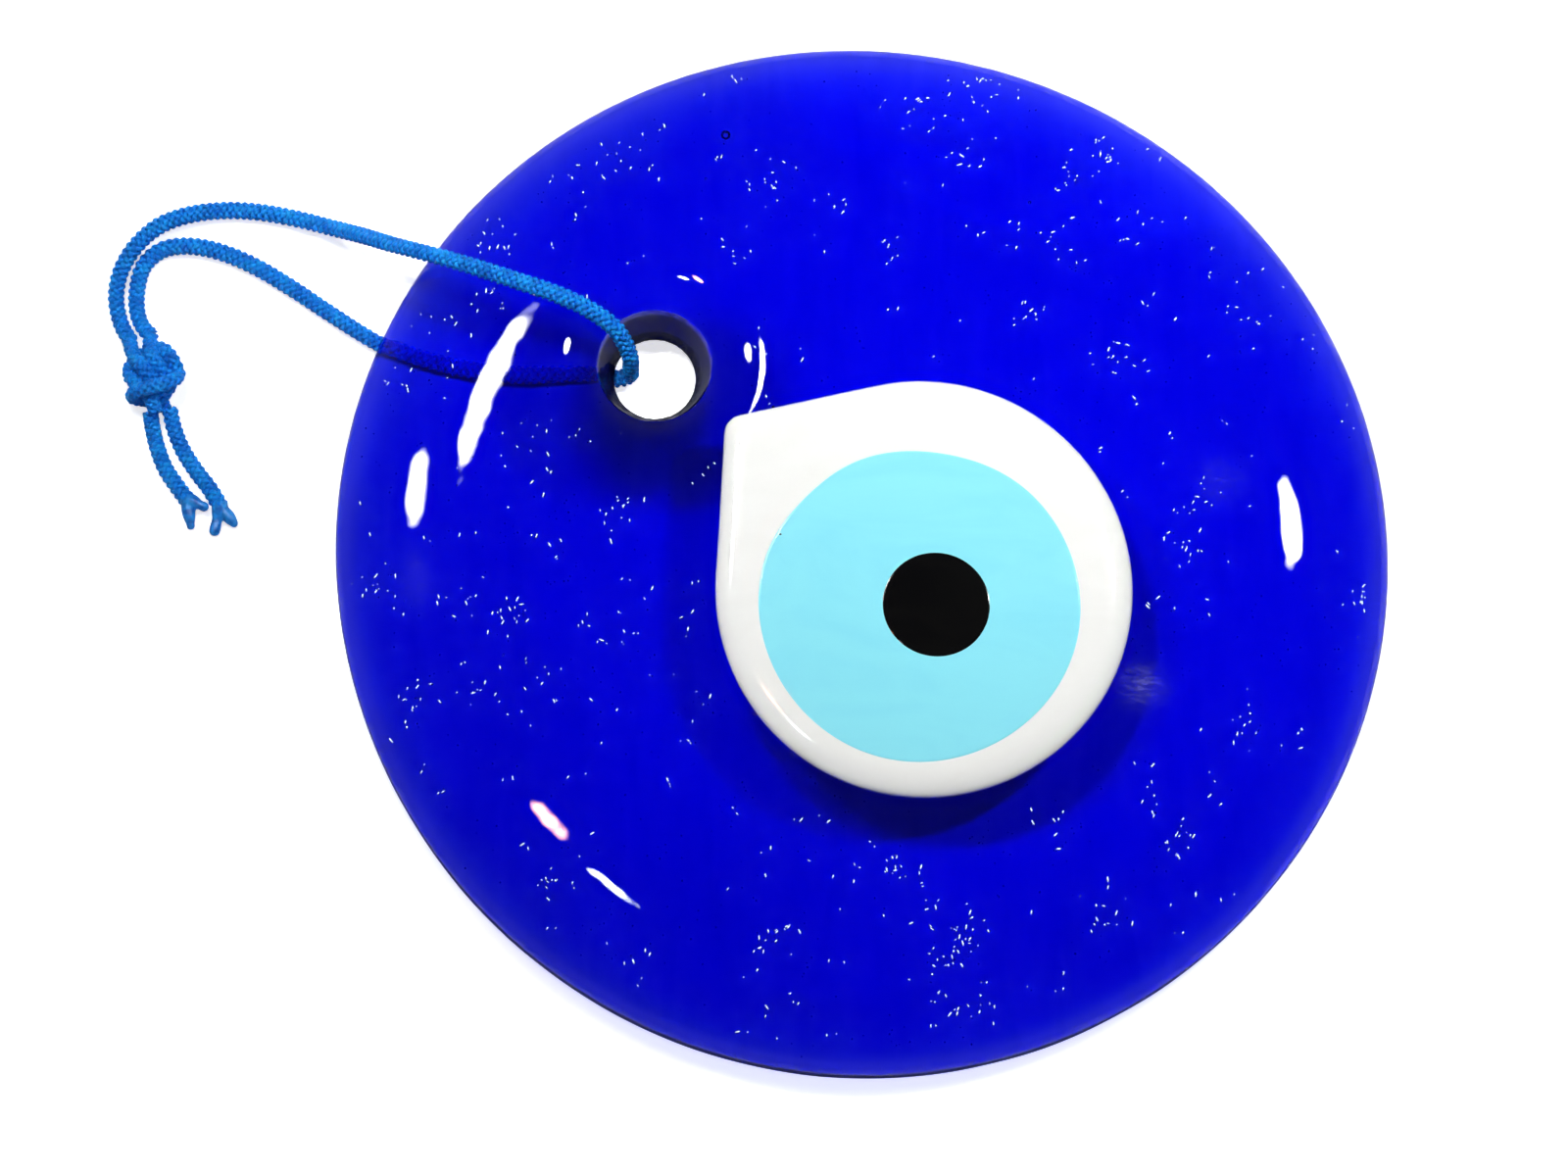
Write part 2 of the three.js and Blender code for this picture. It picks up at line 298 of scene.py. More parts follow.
def joined(parts):
    """Several meshes' points, faces and UVs as one."""
    points, faces, uvs = [], [], []
    for more_points, more_faces, more_uvs in parts:
        first = len(points)
        points.extend(more_points)
        faces.extend(tuple(first + i for i in face) for face in more_faces)
        uvs.extend(more_uvs)
    return points, faces, uvs


def knot_lines():
    """The two strands through the overhand knot, side by side: in over the front, round, out at the foot."""
    along = np.array([math.cos(KNOT_HEADING), math.sin(KNOT_HEADING), 0])
    across = np.array([-along[1], along[0], 0])
    up = np.array([0, 0, 1])
    route = [
        (-0.57, -5.35, -0.75),
        (-0.75, -4.2, -0.2),
        (-0.6, -2.6, 0.9),
        (-0.1, -0.9, 1.5),
        (0.6, 0.6, 1.0),
        (0.8, 1.8, -0.4),
        (-0.5, 2.4, -1.5),
        (-2.0, 2.2, -0.6),
        (-1.9, 2.2, 0.8),
        (-0.1, 2.3, 1.55),
        (1.8, 2.0, 0.9),
        (2.4, 0.9, -0.3),
        (2.3, -0.7, 0.1),
        (1.6, -2.2, -0.1),
        (0.1, -2.5, -1.3),
        (-1.7, -1.5, -1.1),
        (-2.1, 0.0, 0.1),
        (-1.3, 1.2, 0.2),
        (-0.5, 2.6, -0.4),
        (-0.25, 3.9, -0.85),
        (-0.2, 4.55, -1.05),
    ]
    middle = smooth_line(
        [np.array(KNOT_MIDDLE) + x * across + y * along + z * up for x, y, z in route], STEP)
    _, beside, _ = line_frames(middle, across)
    share = np.linspace(0, 1, len(middle))[:, None]
    entering = np.clip(1 - share / 0.14, 0, 1)
    leaving = np.clip((share - 0.86) / 0.14, 0, 1)
    spread = 0.88 + 0.45 * entering + 0.3 * leaving
    strands = middle - spread * beside, middle + spread * beside
    for strand in strands:
        strand[:, 2] = np.maximum(strand[:, 2], 0.95)
    return strands


def add_cord(material, melt):
    """The cord's braided pieces and melted ends, in place of its CAD solids."""
    inside = [(-28.9, 23.55, 4.75)]
    front_line = smooth_line(inside + FRONT_ROUTE[1:], STEP)
    back_line = smooth_line([(-28.9, 23.55, 4.9)] + BACK_ROUTE, STEP)
    for name, line, phase in (
        ("braid_front", front_line, 0.0),
        ("braid_back", back_line, 0.4),
        ("braid_tail_left", smooth_line(LEFT_TAIL_ROUTE, STEP), 0.2),
        ("braid_tail_right", smooth_line(RIGHT_TAIL_ROUTE, STEP), 0.7),
    ):
        points, faces, uvs = braid(line, CORD_DIAMETER, phase)
        add_object(name, points, faces, material, uvs)
    points, faces, uvs = joined([braid(line, KNOT_CORD_DIAMETER) for line in knot_lines()])
    add_object("braid_knot", points, faces, material, uvs)
    melted_end(
        "melt_left", LEFT_TAIL_ROUTE[-1], ((-83.7, 4.2, 0.9), (-82.1, 6.6, 1.2)), melt)
    melted_end(
        "melt_right", RIGHT_TAIL_ROUTE[-1], ((-80.7, 3.6, 0.9), (-78.3, 4.5, 1.0)), melt)
    for name, node in (
        ("braid_front", "cord_strand_front"),
        ("braid_back", "cord_strand_back"),
        ("braid_knot", "cord_knot"),
        ("braid_tail_left", "cord_tail_left"),
        ("braid_tail_right", "cord_tail_right"),
        ("melt_left", "cord_end_left"),
        ("melt_right", "cord_end_right"),
    ):
        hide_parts(node)


def melted_end(name, root, tips, material):
    """Two hardened prongs of melted cord, drawn out of the end of a tail."""
    soft = bmesh.new()
    for tip in tips:
        steps = 9
        for i in range(steps):
            share = i / (steps - 1)
            place = Vector(root).lerp(Vector(tip), share)
            radius = 0.98 - 0.34 * share + 0.1 * math.sin(7 * share + tip[0])
            bmesh.ops.create_icosphere(
                soft, subdivisions=2, radius=radius * MM, matrix=Matrix.Translation(place * MM))
    mesh = bpy.data.meshes.new(name)
    soft.to_mesh(mesh)
    soft.free()
    obj = bpy.data.objects.new(name, mesh)
    bpy.context.scene.collection.objects.link(obj)
    remesh = obj.modifiers.new("melt", "REMESH")
    remesh.mode = "VOXEL"
    remesh.voxel_size = 0.13 * MM
    remesh.use_smooth_shade = True
    soften = obj.modifiers.new("soften", "SMOOTH")
    soften.iterations = 6
    apply_modifiers(obj)
    obj.data.materials.clear()
    obj.data.materials.append(material)
    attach(obj, BODY)
    return obj


def apply_modifiers(obj):
    """Bakes an object's modifiers into its mesh."""
    bpy.context.view_layer.update()
    evaluated = obj.evaluated_get(bpy.context.evaluated_depsgraph_get())
    finished = bpy.data.meshes.new_from_object(evaluated)
    obj.modifiers.clear()
    obj.data = finished


# ---------------------------------------------------------------- the glass, in the disc's own level frame
def edge_wobble(angle):
    """How far the disc's edge strays from a circle."""
    return sum(size * np.cos(lobes * (angle - math.radians(turn))) for lobes, size, turn in EDGE_WOBBLE)


def ripple(x, y, scale, seed):
    """Smooth noise from -1 to 1 at a point in millimetres."""
    return noise.noise(Vector((x / scale, y / scale, seed)))


def front_height(x, y):
    """Height of the front of the disc, without the eye."""
    angle = math.atan2(y, x)
    r = math.hypot(x, y) * DISC_RADIUS / (DISC_RADIUS + edge_wobble(angle))
    over = min(max(0, (r - DISC_RADIUS + SHOULDER_WIDTH) / SHOULDER_WIDTH), 1)
    height = EDGE_HEIGHT + (DISC_THICKNESS - EDGE_HEIGHT) * math.sqrt(1 - over ** SHOULDER_POWER)
    away = math.hypot(x - HOLE_CENTRE[0], y - HOLE_CENTRE[1])
    sink = min(max(0, (DIMPLE_RADIUS - away) / (DIMPLE_RADIUS - HOLE_MOUTH_RADIUS)), 1)
    height -= DIMPLE_DEPTH * sink ** DIMPLE_POWER
    calm = 1 - over
    return height + calm * 0.02 * ripple(x, y, 17, 1.5)


def back_height(x, y):
    """Height of the back: flat on the whole, with shallow chill wrinkles, and never under the flat."""
    long_waves = 0.05 * (1 + ripple(x, y * 0.35, 5, 8.5))
    short_waves = 0.018 * (1 + ripple(x, y * 0.25, 1.7, 3.5))
    return long_waves + short_waves


# each bubble: where it is, its height and its radius
BUBBLES = (
    (-17.0, 52.6, 4.5, 0.6),
    (-19.5, 47.0, 4.0, 0.16),
    (21.0, 44.0, 5.0, 0.2),
    (-44.0, -14.0, 4.0, 0.18),
)


def disc_mesh():
    """Rings that start round the hole and grow until they follow the edge, closed through the hole's wall.

    The bubbles are inward-facing balls in the same mesh.
    """
    around = 384
    angle = np.linspace(0, 2 * math.pi, around, endpoint=False)
    unit = np.stack([np.cos(angle), np.sin(angle)], axis=1)
    edge = edge_wobble(angle)[:, None]
    rim = DISC_RADIUS - 2.5

    def spread_ring(share, inner):
        centre = HOLE_CENTRE * (1 - share)
        radius = inner + (rim - inner) * share
        return centre + unit * (radius + share * edge)

    rings = []
    for share in np.linspace(0, 1, 120) ** 1.15:
        flat = spread_ring(share, HOLE_MOUTH_RADIUS)
        rings.append([(x, y, front_height(x, y)) for x, y in flat])
    start = (rim - DISC_RADIUS + SHOULDER_WIDTH) / SHOULDER_WIDTH
    first = math.acos(math.sqrt(1 - start ** SHOULDER_POWER))
    for turn in np.linspace(first, math.pi / 2, 22)[1:]:
        over = math.sin(turn) ** (2 / SHOULDER_POWER)
        radius = DISC_RADIUS - SHOULDER_WIDTH * (1 - over)
        height = EDGE_HEIGHT + (DISC_THICKNESS - EDGE_HEIGHT) * math.cos(turn)
        rings.append([(x, y, height) for x, y in unit * (radius + edge)])
    lumps = np.array([0.1 * ripple(u * 9, v * 9, 1, 4.5) for u, v in unit])[:, None]
    for height in np.linspace(EDGE_HEIGHT, BACK_CORNER, 6)[1:]:
        bulge = lumps * (EDGE_HEIGHT - height) / EDGE_HEIGHT
        rings.append([(x, y, height) for x, y in unit * (DISC_RADIUS + edge + bulge)])
    for turn in np.linspace(0, math.pi / 2, 12)[1:]:
        radius = DISC_RADIUS - BACK_CORNER * (1 - math.cos(turn))
        height = BACK_CORNER * (1 - math.sin(turn))
        flatness = (1 - math.cos(turn)) ** 2
        bulge = lumps * (1 - flatness) * (1 - BACK_CORNER / EDGE_HEIGHT)
        rings.append([
            (x, y, height + flatness * back_height(x, y)) for x, y in unit * (radius + edge + bulge)
        ])
    flat_radius = DISC_RADIUS - BACK_CORNER
    for share in np.linspace(1, 0, 110)[1:]:
        centre = HOLE_CENTRE * (1 - share)
        radius = HOLE_BACK_RADIUS + (flat_radius - HOLE_BACK_RADIUS) * share
        place = centre + unit * (radius + share * edge)
        chip = np.clip(1 - (radius - HOLE_BACK_RADIUS) / 1.2, 0, 1)
        rings.append([
            (x, y, back_height(x, y) * (1 - chip) + 0.25 * chip * (1 + ripple(x * 9, y * 9, 4, 6)))
            for x, y in place
        ])
    mouth = DISC_THICKNESS - DIMPLE_DEPTH
    for share in np.linspace(0, 1, 26)[1:-1]:
        radius = HOLE_BACK_RADIUS + (HOLE_MOUTH_RADIUS - HOLE_BACK_RADIUS) * share ** 0.8
        rough = 0.22 * max(0, 1 - share / 0.3)
        ring = []
        for u, v in unit:
            chip = rough * ripple(u * 40, v * 40, 6, share * 9)
            x, y = HOLE_CENTRE + np.array([u, v]) * (radius + chip + 0.1 * math.sin(math.pi * share))
            ring.append((x, y, mouth * share + 0.25 * (1 - share)))
        rings.append(ring)
    points = np.array(rings).reshape(-1, 3)
    faces = [face[::-1] for face in grid_faces(len(rings), around, closed=True)]
    ball, ball_faces = icosphere(3)
    for x, y, height, radius in BUBBLES:
        first = len(points)
        points = np.vstack([points, ball * radius + np.array([x, y, height])])
        faces.extend(tuple(first + i for i in face[::-1]) for face in ball_faces)
    return points, faces


BENT_REACH = 14.2
BENT_EDGE = 1.4
WALL_LOSS = 0.93
STREAKS_START = 44


def light_lost(points):
    """The share of the light that each place on the disc bends out of the beam: most at the hole's wall.

    The dish round the hole, streaks along the rim, soft drifts and fine lines on the left lose some too.
    """
    away = np.linalg.norm(points[:, :2] - HOLE_CENTRE, axis=1)
    dished = np.clip((DIMPLE_RADIUS - away) / (DIMPLE_RADIUS - HOLE_MOUTH_RADIUS), 0, 1)
    bent = np.clip((BENT_REACH - away) / BENT_EDGE, 0, 1)
    lost = np.where(points[:, 2] > 2, 0.55 * bent + 0.3 * dished, 0.0)
    wall = away < HOLE_MOUTH_RADIUS + 0.25
    r = np.linalg.norm(points[:, :2], axis=1)
    for i, (x, y, z) in enumerate(points):
        if z > EDGE_HEIGHT:
            angle = math.atan2(y, x)
            rim_share = min(1, max(0, (r[i] - STREAKS_START) / 10))
            streak = noise.noise(Vector((r[i] / 1.3, 2.2 * math.cos(angle), 2.2 * math.sin(angle))))
            drift = ripple(x, y * 0.4, 9, 5.5)
            drawn = noise.noise(Vector((x / 0.7, y / 16, 3.0))) * min(1, max(0, (5 - x) / 20))
            lost[i] += 0.35 * rim_share * max(0, streak + 0.1)
            lost[i] += 0.12 * max(0, drift)
            lost[i] += 0.22 * max(0, drawn)
    return np.where(wall, WALL_LOSS, np.clip(lost, 0, 1))


def edge_shade(points):
    """How much painted shade darkens the glass at its edges: the upright edge of the disc and the wall of the
    hole, which look dark where light takes long or trapped paths through the glass.
    """
    away = np.linalg.norm(points[:, :2] - HOLE_CENTRE, axis=1)
    r = np.linalg.norm(points[:, :2], axis=1)
    outermost = np.clip((r - DISC_RADIUS + 1.2) / 0.6, 0, 1)
    low = np.clip((EDGE_HEIGHT + 0.9 - points[:, 2]) / 0.6, 0, 1)
    at_wall = np.clip((HOLE_MOUTH_RADIUS - 0.05 - away) / 0.3, 0, 1)
    return np.maximum(outermost * low, at_wall)


# each worn patch: its middle, its reach and its strength
SCUFFS = ((33.7, -18.2, 3.6, 0.5), (43.2, 7.7, 4.5, 0.25), (-55.0, -6.0, 5.0, 0.15))


def scuffed(points):
    """How worn the front is."""
    worn = np.zeros(len(points))
    for x, y, reach, strength in SCUFFS:
        away = np.hypot(points[:, 0] - x, points[:, 1] - y)
        worn += strength * np.exp(-(away / reach) ** 2)
    return np.where(points[:, 2] > EDGE_HEIGHT, worn, 0)


def level_to_row():
    """The move from the disc's level frame to the row frame, from the tilt and where the CAD pupil is."""
    turn = Matrix.Rotation(TILT, 4, Vector((UPHILL.y, -UPHILL.x, 0)))
    vertices = [turn.inverted() @ v.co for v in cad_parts["black_pupil"].data.vertices]
    top = max(v.z for v in vertices)
    middle = Vector((
        (min(v.x for v in vertices) + max(v.x for v in vertices)) / 2,
        (min(v.y for v in vertices) + max(v.y for v in vertices)) / 2,
        top,
    ))
    level = Vector((PUPIL_CENTRE[0], PUPIL_CENTRE[1], WHITE_TOP)) * MM
    return turn @ Matrix.Translation(middle - level)


LEVEL = level_to_row()


def add_glass(name, points, faces, material, node, slot):
    """A glass piece built in the disc's level frame, in place of a CAD node if one is named."""
    turned = [LEVEL @ (Vector(p) * MM) / MM for p in points]
    obj = add_object(name, turned, faces, material)
    if node:
        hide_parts(node)
    return obj


def white_reach(angle):
    """How far the white outline lies from its centre: a circle, drawn out to a rounded point."""
    towards = math.atan2(*(HOLE_CENTRE - WHITE_CENTRE)[::-1])
    off = abs((angle - towards + math.pi) % (2 * math.pi) - math.pi)
    point = WHITE_POINT_REACH - WHITE_POINT_RADIUS
    spread = math.acos((WHITE_RADIUS - WHITE_POINT_RADIUS) / point)
    hand_made = 0.06 * math.cos(3 * angle + 0.6) - 0.28 * math.cos(2 * angle)
    if off >= spread:
        return WHITE_RADIUS + hand_made
    turn = math.atan2(
        WHITE_POINT_RADIUS * math.sin(spread), point + WHITE_POINT_RADIUS * math.cos(spread))
    if off >= turn:
        return WHITE_RADIUS / math.cos(spread - off) + hand_made
    rounded = math.sqrt(WHITE_POINT_RADIUS ** 2 - (point * math.sin(off)) ** 2)
    return point * math.cos(off) + rounded + hand_made


EYE_ROUNDING = 3.6
EYE_CROWN = 0.4


def eye_top(x, y):
    """Height of the eye's fire-polished top: nearly flat, crowned a little towards its middle."""
    dx, dy = x - WHITE_CENTRE[0], y - WHITE_CENTRE[1]
    share = min(1, math.hypot(dx, dy) / (white_reach(math.atan2(dy, dx)) - EYE_ROUNDING))
    return WHITE_TOP - EYE_CROWN * share ** 2


def layered(outline, centre, profile, around):
    """Points and faces of a closed body: rings inside an outline, with a point at the foot and at the top."""
    angle = np.linspace(0, 2 * math.pi, around, endpoint=False)
    reach = np.array([outline(a) for a in angle])
    rings = []
    for place in profile:
        ring = []
        for a, full in zip(angle, reach):
            radius, height = place(full)
            x, y = centre[0] + radius * math.cos(a), centre[1] + radius * math.sin(a)
            ring.append((x, y, height(x, y) if callable(height) else height))
        rings.append(ring)
    points = [p for ring in rings for p in ring]
    faces = grid_faces(len(rings), around)
    foot, head = len(points), len(points) + 1
    low = np.mean(rings[0], axis=0)
    high = np.mean(rings[-1], axis=0)
    points += [tuple(low), tuple(high)]
    last = (len(rings) - 1) * around
    for side in range(around):
        after = (side + 1) % around
        faces.append((after, side, foot))
        faces.append((last + side, last + after, head))
    return points, faces


def white_profile():
    """Places up the side and over the top of the white layer, each from the outline's reach."""
    contact = DISC_THICKNESS
    widest = contact + 1.15
    shoulder = WHITE_TOP - EYE_CROWN
    places = [lambda full: (0.5 * full, contact - 0.9), lambda full: (full - 1.6, contact - 0.9)]
    low = contact - 0.3
    for turn in np.linspace(0, math.pi / 2, 8):
        places.append(lambda full, t=turn: (
            full - 1.25 * (1 - math.sin(t)), low + (widest - low) * (1 - math.cos(t))))
    for turn in np.linspace(0, math.pi / 2, 18)[1:]:
        places.append(lambda full, t=turn: (
            full - EYE_ROUNDING * (1 - math.cos(t)), widest + (shoulder - widest) * math.sin(t)))
    for share in np.linspace(0, 1, 24)[1:-1]:
        places.append(lambda full, s=share: ((full - EYE_ROUNDING) * (1 - s), eye_top))
    return places


def lens_profile(depth, proud):
    """A lens that is flush with the eye's top, drops just under it at its edge, and is as deep as asked."""
    places = [
        lambda full: (0.5 * full, WHITE_TOP - depth),
        lambda full: (full - 0.9, WHITE_TOP - depth),
        lambda full: (full + 0.1, lambda x, y: eye_top(x, y) - 0.5),
    ]
    for inset, lift in ((-0.05, -0.06), (0.0, 0.3), (0.2, 0.7), (0.6, 0.95), (1.4, 1.0)):
        places.append(lambda full, i=inset, k=lift: (
            full - i, lambda x, y: eye_top(x, y) + (k * proud if k > 0 else k)))
    for share in np.linspace(0, 1, 20)[1:-1]:
        places.append(lambda full, s=share: (
            (full - 1.4) * (1 - s), lambda x, y: eye_top(x, y) + proud))
    return places


def iris_reach(angle):
    """The light blue outline: a circle, a little flattened towards the hole and at the top."""
    towards = math.atan2(*(HOLE_CENTRE - IRIS_CENTRE)[::-1])
    facing = max(0, math.cos(angle - towards))
    over = max(0, math.cos(angle - math.radians(80)))
    return IRIS_RADIUS - IRIS_FLAT * facing ** 20 - 0.6 * over ** 10 + 0.07 * math.cos(4 * angle + 1)


def pupil_reach(angle):
    """The black outline: nearly a circle, a little larger than its seat so that it shows at full size."""
    return PUPIL_RADIUS + 0.12 + 0.05 * math.cos(2 * angle + 0.8)


def add_eye(white, light_blue, black):
    add_glass("white_glass", *layered(white_reach, WHITE_CENTRE, white_profile(), 320), white,
              "white_layer", "white_glass")
    add_glass("light_blue_glass", *layered(iris_reach, IRIS_CENTRE, lens_profile(1.6, 0.03), 256), light_blue,
              "light_blue_layer", "light_blue_glass")
    add_glass("black_glass", *layered(pupil_reach, PUPIL_CENTRE, lens_profile(0.9, 0.06), 160), black,
              "black_pupil", "black_glass")


# ---------------------------------------------------------------- seeds, painted glints at pits, and specks in the glass
def icosphere(subdivisions):
    """Points and faces of a ball of radius 1."""
    ball = bmesh.new()
    bmesh.ops.create_icosphere(ball, subdivisions=subdivisions, radius=1)
    points = np.array([v.co for v in ball.verts])
    faces = [tuple(v.index for v in f.verts) for f in ball.faces]
    ball.free()
    return points, faces


def on_white(x, y, margin=1.0):
    """Whether a place is on the eye or within a margin of it."""
    dx, dy = x - WHITE_CENTRE[0], y - WHITE_CENTRE[1]
    return math.hypot(dx, dy) < white_reach(math.atan2(dy, dx)) + margin


def free_spot(margin):
    """A random place on the disc, off the eye and the hole."""
    while True:
        r = (DISC_RADIUS - margin) * math.sqrt(RANDOM.random())
        angle = RANDOM.uniform(0, 2 * math.pi)
        x, y = r * math.cos(angle), r * math.sin(angle)
        from_hole = math.hypot(x - HOLE_CENTRE[0], y - HOLE_CENTRE[1])
        if not on_white(x, y) and from_hole > HOLE_MOUTH_RADIUS + 1:
            return x, y


def scatter(spots, shape, size, stretch, height):
    """Small stretched balls at the spots: points and faces."""
    ball_points, ball_faces = shape
    points, faces = [], []
    for x, y, heading in spots:
        length = size()
        flat = np.diag([length * stretch(), length, length * 0.7])
        c, s = math.cos(heading), math.sin(heading)
        turn = np.array([[c, -s, 0], [s, c, 0], [0, 0, 1]])
        first = len(points)
        points.extend(ball_points @ flat @ turn.T + np.array([x, y, height(x, y)]))
        faces.extend(tuple(first + i for i in face) for face in ball_faces)
    return points, faces


def clusters(count, each, reach, margin):
    """Spots in loose clusters, with headings near that of their cluster: aslant at the upper right."""
    spots = []
    for _ in range(count):
        cx, cy = free_spot(margin)
        heading = math.radians(55 if cx > 0 and cy > 0 else 90) + RANDOM.gauss(0, 0.3)
        for _ in range(RANDOM.randint(*each)):
            x, y = cx + RANDOM.gauss(0, reach), cy + RANDOM.gauss(0, reach)
            from_hole = math.hypot(x - HOLE_CENTRE[0], y - HOLE_CENTRE[1])
            clear = from_hole >= HOLE_MOUTH_RADIUS + 0.6 and not on_white(x, y, 0.6)
            if math.hypot(x, y) < DISC_RADIUS - 2 and clear:
                spots.append((x, y, heading + RANDOM.gauss(0, 0.5)))
    return spots


EYE_SPECKS = ((-11.2, 16.0), (-10.3, -0.1))
EYE_SPECK_SIZE = 0.14


def add_flaws(painted_sparkle, dark):
    """Painted glints: pale specks in the front that glow as if they caught a lamp; dark specks all through
    the glass, and two specks on the eye.
    """
    ball = icosphere(1)
    # painted glints: pale, glowing flecks at the front stand in for lamp highlights caught in small pits
    glint_spots = clusters(60, (3, 14), 1.5, 3) + clusters(170, (1, 2), 0.6, 2)
    points, faces = scatter(
        glint_spots, ball, lambda: RANDOM.uniform(0.05, 0.11), lambda: RANDOM.uniform(1, 4),
        lambda x, y: front_height(x, y) - 0.01)
    add_glass("painted_pit_glints", points, faces, painted_sparkle, None, "blue_glass")
    specks = clusters(420, (1, 3), 1.2, 3)
    points, faces = scatter(
        specks, ball, lambda: RANDOM.uniform(0.05, 0.1), lambda: RANDOM.uniform(1, 1.6),
        lambda x, y: RANDOM.uniform(0.15, 0.85) * front_height(x, y))
    on_eye, eye_faces = scatter(
        [(x, y, 0) for x, y in EYE_SPECKS], ball, lambda: EYE_SPECK_SIZE, lambda: 1.4, eye_top)
    faces += [tuple(len(points) + i for i in face) for face in eye_faces]
    points += on_eye
    add_glass("dark_specks", points, faces, dark, None, "black_glass")


# ---------------------------------------------------------------- materials
def new_material(name):
    """A node material with its nodes, links, shader and output."""
    material = bpy.data.materials.new(name)
    material.use_nodes = True
    tree = material.node_tree
    return material, tree.nodes, tree.links, tree.nodes["Principled BSDF"], tree.nodes["Material Output"]


def noise_node(nodes, links, coordinates, scale, detail=3.0, distortion=0.0):
    texture = nodes.new("ShaderNodeTexNoise")
    texture.inputs["Scale"].default_value = scale
    texture.inputs["Detail"].default_value = detail
    texture.inputs["Distortion"].default_value = distortion
    links.new(coordinates, texture.inputs["Vector"])
    return texture.outputs["Fac"]


def ramp_node(nodes, links, source, stops):
    """A colour ramp through (position, colour) stops."""
    ramp = nodes.new("ShaderNodeValToRGB")
    ramp.color_ramp.elements[0].position, ramp.color_ramp.elements[0].color = stops[0]
    ramp.color_ramp.elements[1].position, ramp.color_ramp.elements[1].color = stops[-1]
    for position, colour in stops[1:-1]:
        ramp.color_ramp.elements.new(position).color = colour
    links.new(source, ramp.inputs["Fac"])
    return ramp.outputs["Color"]


def stretched(nodes, links, scale, turn=0.0):
    """The object's own coordinates, stretched and turned."""
    place = nodes.new("ShaderNodeTexCoord")
    mapping = nodes.new("ShaderNodeMapping")
    mapping.inputs["Scale"].default_value = scale
    mapping.inputs["Rotation"].default_value = (0, 0, turn)
    links.new(place.outputs["Object"], mapping.inputs["Vector"])
    return mapping.outputs["Vector"]


def attribute_node(nodes, name):
    """The value that each point of the mesh holds under a name."""
    attribute = nodes.new("ShaderNodeAttribute")
    attribute.attribute_name = name
    return attribute.outputs["Fac"]


def math_node(nodes, links, operation, *values):
    """A sum of sockets and plain numbers."""
    node = nodes.new("ShaderNodeMath")
    node.operation = operation
    for i, value in enumerate(values):
        if isinstance(value, (int, float)):
            node.inputs[i].default_value = value
        else:
            links.new(value, node.inputs[i])
    return node.outputs["Value"]


def mix_shaders(nodes, links, share, first, second):
    """One shader faded into another."""
    mix = nodes.new("ShaderNodeMixShader")
    links.new(share, mix.inputs["Fac"])
    links.new(first, mix.inputs[1])
    links.new(second, mix.inputs[2])
    return mix.outputs["Shader"]


def bump_node(nodes, links, height, distance):
    bump = nodes.new("ShaderNodeBump")
    bump.inputs["Distance"].default_value = distance
    links.new(height, bump.inputs["Height"])
    return bump.outputs["Normal"]


# share of painted shade: how much of a dark diffuse shader replaces the glass where edge_shade is full
EDGE_PAINTED_SHADE = 0.75


def blue_glass():
    """Clear cobalt glass: the colour is in its depth, with faint streaks of painted shade in place of light
    that waves in the glass bend aside.

    Light on its way to what lies below goes straight through, less what light_lost says is bent away.
    """
    material, nodes, links, shader, output = new_material("blue_glass")
    shader.inputs["Transmission Weight"].default_value = 1
    shader.inputs["IOR"].default_value = 1.5
    # painted shade: long noise streaks dim the base colour a little, in place of the light and shade that the
    # glass's waves focus below it
    painted_streaks = noise_node(nodes, links, stretched(nodes, links, (260, 60, 60), 0.12), 1.0, 3, 0.6)
    streaked_base = ramp_node(nodes, links, painted_streaks, [(0.3, (0.86, 0.86, 0.95, 1)), (0.6, (1, 1, 1, 1))])
    # painted shade: edge_shade mixes the base colour towards dark grey at the disc's upright edge and the
    # hole's wall
    edge = attribute_node(nodes, "edge_shade")
    darker = nodes.new("ShaderNodeMix")
    darker.data_type = "RGBA"
    links.new(edge, darker.inputs["Factor"])
    links.new(streaked_base, darker.inputs["A"])
    darker.inputs["B"].default_value = (0.06, 0.06, 0.075, 1)
    links.new(darker.outputs["Result"], shader.inputs["Base Color"])
    scuffs = noise_node(nodes, links, stretched(nodes, links, (900, 2600, 900), 0.9), 1.0, 4)
    rough = math_node(nodes, links, "MULTIPLY", scuffs, attribute_node(nodes, "scuffed"))
    links.new(rough, shader.inputs["Roughness"])
    waves = noise_node(nodes, links, stretched(nodes, links, (150, 150, 150)), 1.0, 2)
    links.new(bump_node(nodes, links, waves, 0.00004), shader.inputs["Normal"])
    absorb = nodes.new("ShaderNodeVolumeAbsorption")
    absorb.inputs["Color"].default_value = (0.05, 0.2, 0.98, 1)
    absorb.inputs["Density"].default_value = 400
    links.new(absorb.outputs["Volume"], output.inputs["Volume"])
    lost = attribute_node(nodes, "light_lost")
    kept = ramp_node(nodes, links, lost, [(0.0, (1, 1, 1, 1)), (1.0, (0, 0, 0, 1))])
    clear = nodes.new("ShaderNodeBsdfTransparent")
    links.new(kept, clear.inputs["Color"])
    path = nodes.new("ShaderNodeLightPath").outputs
    straight = math_node(nodes, links, "MAXIMUM", path["Is Shadow Ray"], path["Is Diffuse Ray"])
    # painted shade: a dark diffuse shader mixed in by edge_shade takes most of the glass's reflection and
    # transmission away at the edges
    painted_edge_dark = nodes.new("ShaderNodeBsdfDiffuse")
    painted_edge_dark.inputs["Color"].default_value = (0.008, 0.009, 0.05, 1)
    painted_edge_share = math_node(nodes, links, "MULTIPLY", edge, EDGE_PAINTED_SHADE)
    glass = mix_shaders(nodes, links, painted_edge_share, shader.outputs["BSDF"], painted_edge_dark.outputs["BSDF"])
    surface = mix_shaders(nodes, links, straight, glass, clear.outputs["BSDF"])
    links.new(surface, output.inputs["Surface"])
    return material


